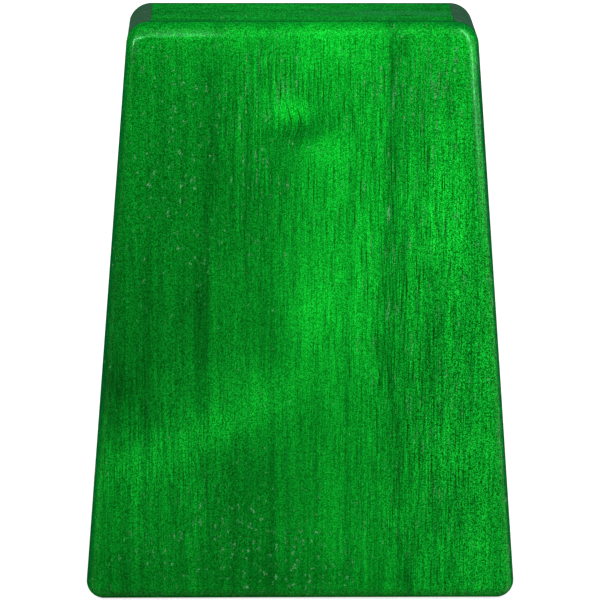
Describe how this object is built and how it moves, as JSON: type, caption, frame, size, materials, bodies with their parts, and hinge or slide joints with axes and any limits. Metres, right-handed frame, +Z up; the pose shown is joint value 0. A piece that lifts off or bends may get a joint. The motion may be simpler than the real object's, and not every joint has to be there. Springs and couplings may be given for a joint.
{
  "type": "kalimba",
  "caption": "Hollow box kalimba: tapered stained-wood sound box with rounded edges and a sound hole, and sprung steel tines held over bridges by a screwed pressure bar.",
  "frame": {"origin": "middle of the wide end's flat face, halfway through the sound box", "axes": "+Z up along the sound box from the wide end to the narrow end, -Y out of the back, +Y out of the soundboard on the tines' side, +X to the player's left"},
  "size_m": [0.135, 0.0576, 0.185],
  "materials": {
    "stained_wood": "green stain under gloss lacquer",
    "inner_wood": "raw",
    "bridge_wood": "oiled",
    "tine_steel": "brushed",
    "rod_steel": "ground",
    "bar_steel": "satin plated",
    "screw_steel": "plain"
  },
  "bodies": {
    "sound_box": {"back_plate": "stained_wood", "soundboard": "stained_wood", "left_side": "stained_wood", "right_side": "stained_wood", "top_end": "stained_wood", "bottom_end": "stained_wood", "bridge_block": "inner_wood", "front_bridge": "bridge_wood", "bridge_rod": "rod_steel", "rear_bridge": "bridge_wood", "pressure_bar": "bar_steel", "pressure_bar_screws": "screw_steel"},
    "tine_01_shank": {"tine_01_shank": "tine_steel"},
    "tine_01_tongue": {"tine_01_tongue": "tine_steel"},
    "tine_02_shank": {"tine_02_shank": "tine_steel"},
    "tine_02_tongue": {"tine_02_tongue": "tine_steel"},
    "tine_03_shank": {"tine_03_shank": "tine_steel"},
    "tine_03_tongue": {"tine_03_tongue": "tine_steel"},
    "tine_04_shank": {"tine_04_shank": "tine_steel"},
    "tine_04_tongue": {"tine_04_tongue": "tine_steel"},
    "tine_05_shank": {"tine_05_shank": "tine_steel"},
    "tine_05_tongue": {"tine_05_tongue": "tine_steel"},
    "tine_06_shank": {"tine_06_shank": "tine_steel"},
    "tine_06_tongue": {"tine_06_tongue": "tine_steel"},
    "tine_07_shank": {"tine_07_shank": "tine_steel"},
    "tine_07_tongue": {"tine_07_tongue": "tine_steel"},
    "tine_08_shank": {"tine_08_shank": "tine_steel"},
    "tine_08_tongue": {"tine_08_tongue": "tine_steel"},
    "tine_09_shank": {"tine_09_shank": "tine_steel"},
    "tine_09_tongue": {"tine_09_tongue": "tine_steel"},
    "tine_10_shank": {"tine_10_shank": "tine_steel"},
    "tine_10_tongue": {"tine_10_tongue": "tine_steel"},
    "tine_11_shank": {"tine_11_shank": "tine_steel"},
    "tine_11_tongue": {"tine_11_tongue": "tine_steel"},
    "tine_12_shank": {"tine_12_shank": "tine_steel"},
    "tine_12_tongue": {"tine_12_tongue": "tine_steel"},
    "tine_13_shank": {"tine_13_shank": "tine_steel"},
    "tine_13_tongue": {"tine_13_tongue": "tine_steel"},
    "tine_14_shank": {"tine_14_shank": "tine_steel"},
    "tine_14_tongue": {"tine_14_tongue": "tine_steel"},
    "tine_15_shank": {"tine_15_shank": "tine_steel"},
    "tine_15_tongue": {"tine_15_tongue": "tine_steel"},
    "tine_16_shank": {"tine_16_shank": "tine_steel"},
    "tine_16_tongue": {"tine_16_tongue": "tine_steel"},
    "tine_17_shank": {"tine_17_shank": "tine_steel"},
    "tine_17_tongue": {"tine_17_tongue": "tine_steel"}
  },
  "joints": [
    {"name": "tine_01_pluck", "type": "hinge", "parent": "tine_01_shank", "child": "tine_01_tongue", "pos_m": [0.048, 0.03155, 0.142], "axis": [1, 0, 0], "range_deg": [-3, 3], "stiffness_Nm_per_rad": 6.95},
    {"name": "tine_02_pluck", "type": "hinge", "parent": "tine_02_shank", "child": "tine_02_tongue", "pos_m": [0.042, 0.03155, 0.142], "axis": [1, 0, 0], "range_deg": [-3, 3], "stiffness_Nm_per_rad": 6.38},
    {"name": "tine_03_pluck", "type": "hinge", "parent": "tine_03_shank", "child": "tine_03_tongue", "pos_m": [0.036, 0.03155, 0.142], "axis": [1, 0, 0], "range_deg": [-3, 3], "stiffness_Nm_per_rad": 5.68},
    {"name": "tine_04_pluck", "type": "hinge", "parent": "tine_04_shank", "child": "tine_04_tongue", "pos_m": [0.03, 0.03155, 0.142], "axis": [1, 0, 0], "range_deg": [-3, 3], "stiffness_Nm_per_rad": 5.21},
    {"name": "tine_05_pluck", "type": "hinge", "parent": "tine_05_shank", "child": "tine_05_tongue", "pos_m": [0.024, 0.03155, 0.142], "axis": [1, 0, 0], "range_deg": [-3, 3], "stiffness_Nm_per_rad": 4.64},
    {"name": "tine_06_pluck", "type": "hinge", "parent": "tine_06_shank", "child": "tine_06_tongue", "pos_m": [0.018, 0.03155, 0.142], "axis": [1, 0, 0], "range_deg": [-3, 3], "stiffness_Nm_per_rad": 4.26},
    {"name": "tine_07_pluck", "type": "hinge", "parent": "tine_07_shank", "child": "tine_07_tongue", "pos_m": [0.012, 0.03155, 0.142], "axis": [1, 0, 0], "range_deg": [-3, 3], "stiffness_Nm_per_rad": 3.79},
    {"name": "tine_08_pluck", "type": "hinge", "parent": "tine_08_shank", "child": "tine_08_tongue", "pos_m": [0.006, 0.03155, 0.142], "axis": [1, 0, 0], "range_deg": [-3, 3], "stiffness_Nm_per_rad": 3.48},
    {"name": "tine_09_pluck", "type": "hinge", "parent": "tine_09_shank", "child": "tine_09_tongue", "pos_m": [0, 0.03155, 0.142], "axis": [1, 0, 0], "range_deg": [-3, 3], "stiffness_Nm_per_rad": 3.28},
    {"name": "tine_10_pluck", "type": "hinge", "parent": "tine_10_shank", "child": "tine_10_tongue", "pos_m": [-0.006, 0.03155, 0.142], "axis": [1, 0, 0], "range_deg": [-3, 3], "stiffness_Nm_per_rad": 3.68},
    {"name": "tine_11_pluck", "type": "hinge", "parent": "tine_11_shank", "child": "tine_11_tongue", "pos_m": [-0.012, 0.03155, 0.142], "axis": [1, 0, 0], "range_deg": [-3, 3], "stiffness_Nm_per_rad": 4.02},
    {"name": "tine_12_pluck", "type": "hinge", "parent": "tine_12_shank", "child": "tine_12_tongue", "pos_m": [-0.018, 0.03155, 0.142], "axis": [1, 0, 0], "range_deg": [-3, 3], "stiffness_Nm_per_rad": 4.51},
    {"name": "tine_13_pluck", "type": "hinge", "parent": "tine_13_shank", "child": "tine_13_tongue", "pos_m": [-0.024, 0.03155, 0.142], "axis": [1, 0, 0], "range_deg": [-3, 3], "stiffness_Nm_per_rad": 4.92},
    {"name": "tine_14_pluck", "type": "hinge", "parent": "tine_14_shank", "child": "tine_14_tongue", "pos_m": [-0.03, 0.03155, 0.142], "axis": [1, 0, 0], "range_deg": [-3, 3], "stiffness_Nm_per_rad": 5.36},
    {"name": "tine_15_pluck", "type": "hinge", "parent": "tine_15_shank", "child": "tine_15_tongue", "pos_m": [-0.036, 0.03155, 0.142], "axis": [1, 0, 0], "range_deg": [-3, 3], "stiffness_Nm_per_rad": 6.02},
    {"name": "tine_16_pluck", "type": "hinge", "parent": "tine_16_shank", "child": "tine_16_tongue", "pos_m": [-0.042, 0.03155, 0.142], "axis": [1, 0, 0], "range_deg": [-3, 3], "stiffness_Nm_per_rad": 6.56},
    {"name": "tine_17_pluck", "type": "hinge", "parent": "tine_17_shank", "child": "tine_17_tongue", "pos_m": [-0.048, 0.03155, 0.142], "axis": [1, 0, 0], "range_deg": [-3, 3], "stiffness_Nm_per_rad": 7.37},
    {"name": "tine_01_tune", "type": "slide", "parent": "sound_box", "child": "tine_01_shank", "axis": [0, 0.0523, -0.9986], "range_m": [-0.002, 0.002]},
    {"name": "tine_02_tune", "type": "slide", "parent": "sound_box", "child": "tine_02_shank", "axis": [0, 0.0523, -0.9986], "range_m": [-0.002, 0.002]},
    {"name": "tine_03_tune", "type": "slide", "parent": "sound_box", "child": "tine_03_shank", "axis": [0, 0.0523, -0.9986], "range_m": [-0.002, 0.002]},
    {"name": "tine_04_tune", "type": "slide", "parent": "sound_box", "child": "tine_04_shank", "axis": [0, 0.0523, -0.9986], "range_m": [-0.002, 0.002]},
    {"name": "tine_05_tune", "type": "slide", "parent": "sound_box", "child": "tine_05_shank", "axis": [0, 0.0523, -0.9986], "range_m": [-0.002, 0.002]},
    {"name": "tine_06_tune", "type": "slide", "parent": "sound_box", "child": "tine_06_shank", "axis": [0, 0.0523, -0.9986], "range_m": [-0.002, 0.002]},
    {"name": "tine_07_tune", "type": "slide", "parent": "sound_box", "child": "tine_07_shank", "axis": [0, 0.0523, -0.9986], "range_m": [-0.002, 0.002]},
    {"name": "tine_08_tune", "type": "slide", "parent": "sound_box", "child": "tine_08_shank", "axis": [0, 0.0523, -0.9986], "range_m": [-0.002, 0.002]},
    {"name": "tine_09_tune", "type": "slide", "parent": "sound_box", "child": "tine_09_shank", "axis": [0, 0.0523, -0.9986], "range_m": [-0.002, 0.002]},
    {"name": "tine_10_tune", "type": "slide", "parent": "sound_box", "child": "tine_10_shank", "axis": [0, 0.0523, -0.9986], "range_m": [-0.002, 0.002]},
    {"name": "tine_11_tune", "type": "slide", "parent": "sound_box", "child": "tine_11_shank", "axis": [0, 0.0523, -0.9986], "range_m": [-0.002, 0.002]},
    {"name": "tine_12_tune", "type": "slide", "parent": "sound_box", "child": "tine_12_shank", "axis": [0, 0.0523, -0.9986], "range_m": [-0.002, 0.002]},
    {"name": "tine_13_tune", "type": "slide", "parent": "sound_box", "child": "tine_13_shank", "axis": [0, 0.0523, -0.9986], "range_m": [-0.002, 0.002]},
    {"name": "tine_14_tune", "type": "slide", "parent": "sound_box", "child": "tine_14_shank", "axis": [0, 0.0523, -0.9986], "range_m": [-0.002, 0.002]},
    {"name": "tine_15_tune", "type": "slide", "parent": "sound_box", "child": "tine_15_shank", "axis": [0, 0.0523, -0.9986], "range_m": [-0.002, 0.002]},
    {"name": "tine_16_tune", "type": "slide", "parent": "sound_box", "child": "tine_16_shank", "axis": [0, 0.0523, -0.9986], "range_m": [-0.002, 0.002]},
    {"name": "tine_17_tune", "type": "slide", "parent": "sound_box", "child": "tine_17_shank", "axis": [0, 0.0523, -0.9986], "range_m": [-0.002, 0.002]}
  ]
}
